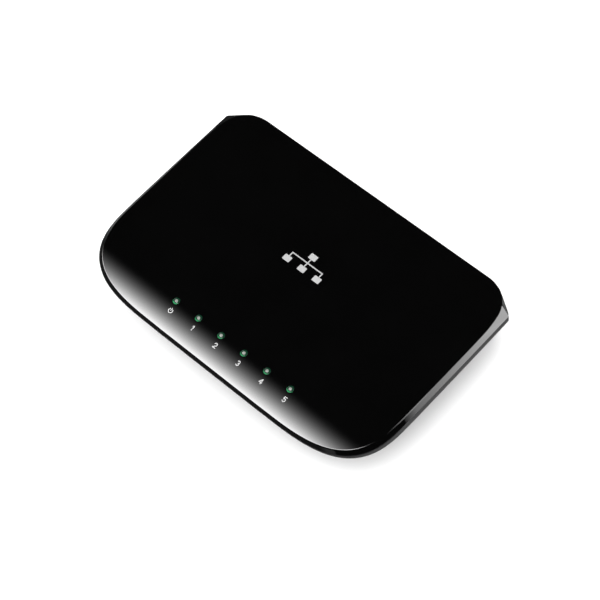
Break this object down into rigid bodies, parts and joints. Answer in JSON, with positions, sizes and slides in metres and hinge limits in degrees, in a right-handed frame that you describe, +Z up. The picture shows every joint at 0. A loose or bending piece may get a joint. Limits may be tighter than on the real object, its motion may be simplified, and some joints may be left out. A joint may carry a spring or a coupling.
{
  "type": "desktop network switch",
  "caption": "Low desktop network switch: gloss black lid with indicator windows near its front edge, overhanging rim, network jacks and a DC inlet in the rear face.",
  "frame": {"origin": "on the surface it stands on, under the middle of the case", "axes": "+X to the right seen from the front edge with the indicators, +Y to the rear face with the ports, +Z up"},
  "size_m": [0.165, 0.108, 0.028],
  "materials": {
    "gloss_black_cover": "piano black, polished",
    "dark_grey_shell": "fine satin texture",
    "green_board": "solder mask",
    "clear_green_guide": "clear, faint green",
    "black_connector": "moulded satin",
    "dark_insert": "moulded satin",
    "gold_contact": "gold flash",
    "chip_black": "moulded epoxy",
    "lamp_white": "white package",
    "tinned_metal": "bright tin",
    "ferrite": "sintered",
    "capacitor_can": "sleeved can",
    "ceramic_tan": "fired ceramic",
    "screw_steel": "zinc plated",
    "label_silver": "blank printed film",
    "foot_rubber": "soft matt"
  },
  "bodies": {
    "case": {"top_cover": "gloss_black_cover", "bottom_shell": "dark_grey_shell", "circuit_board": "green_board", "light_guide": "clear_green_guide", "jack_housing_1": "black_connector", "jack_housing_2": "black_connector", "jack_housing_3": "black_connector", "jack_housing_4": "black_connector", "jack_housing_5": "black_connector", "contact_insert_1": "dark_insert", "contact_insert_2": "dark_insert", "contact_insert_3": "dark_insert", "contact_insert_4": "dark_insert", "contact_insert_5": "dark_insert", "line_transformer_1": "chip_black", "line_transformer_2": "chip_black", "line_transformer_3": "chip_black", "line_transformer_4": "chip_black", "line_transformer_5": "chip_black", "indicator_lamp_1": "lamp_white", "indicator_lamp_2": "lamp_white", "indicator_lamp_3": "lamp_white", "indicator_lamp_4": "lamp_white", "indicator_lamp_5": "lamp_white", "indicator_lamp_6": "lamp_white", "inlet_housing": "black_connector", "inlet_pin": "tinned_metal", "inlet_terminals": "tinned_metal", "switch_chip": "chip_black", "memory_chip": "chip_black", "crystal": "tinned_metal", "regulator_chip": "chip_black", "power_inductor": "ferrite", "filter_capacitor_1": "capacitor_can", "filter_capacitor_2": "capacitor_can", "small_capacitors": "ceramic_tan", "small_resistors": "chip_black", "board_screws": "screw_steel", "case_screws": "screw_steel", "rating_label": "label_silver", "rubber_foot_1": "foot_rubber", "rubber_foot_2": "foot_rubber", "rubber_foot_3": "foot_rubber", "rubber_foot_4": "foot_rubber"},
    "contacts_1": {"contact_springs_1": "gold_contact"},
    "contacts_2": {"contact_springs_2": "gold_contact"},
    "contacts_3": {"contact_springs_3": "gold_contact"},
    "contacts_4": {"contact_springs_4": "gold_contact"},
    "contacts_5": {"contact_springs_5": "gold_contact"},
    "inlet_leaf": {"inlet_leaf_spring": "gold_contact"}
  },
  "joints": [
    {"name": "contact_bend_1", "type": "hinge", "parent": "case", "child": "contacts_1", "pos_m": [-0.0204, 0.0509, 0.0193], "axis": [-1, 0, 0], "range_deg": [0, 12], "stiffness_Nm_per_rad": 0.05},
    {"name": "contact_bend_2", "type": "hinge", "parent": "case", "child": "contacts_2", "pos_m": [-0.0042, 0.0509, 0.0193], "axis": [-1, 0, 0], "range_deg": [0, 12], "stiffness_Nm_per_rad": 0.05},
    {"name": "contact_bend_3", "type": "hinge", "parent": "case", "child": "contacts_3", "pos_m": [0.012, 0.0509, 0.0193], "axis": [-1, 0, 0], "range_deg": [0, 12], "stiffness_Nm_per_rad": 0.05},
    {"name": "contact_bend_4", "type": "hinge", "parent": "case", "child": "contacts_4", "pos_m": [0.0282, 0.0509, 0.0193], "axis": [-1, 0, 0], "range_deg": [0, 12], "stiffness_Nm_per_rad": 0.05},
    {"name": "contact_bend_5", "type": "hinge", "parent": "case", "child": "contacts_5", "pos_m": [0.0444, 0.0509, 0.0193], "axis": [-1, 0, 0], "range_deg": [0, 12], "stiffness_Nm_per_rad": 0.05},
    {"name": "inlet_leaf_bend", "type": "hinge", "parent": "case", "child": "inlet_leaf", "pos_m": [-0.044, 0.0412, 0.01], "axis": [-1, 0, 0], "range_deg": [0, 5], "stiffness_Nm_per_rad": 0.05}
  ]
}
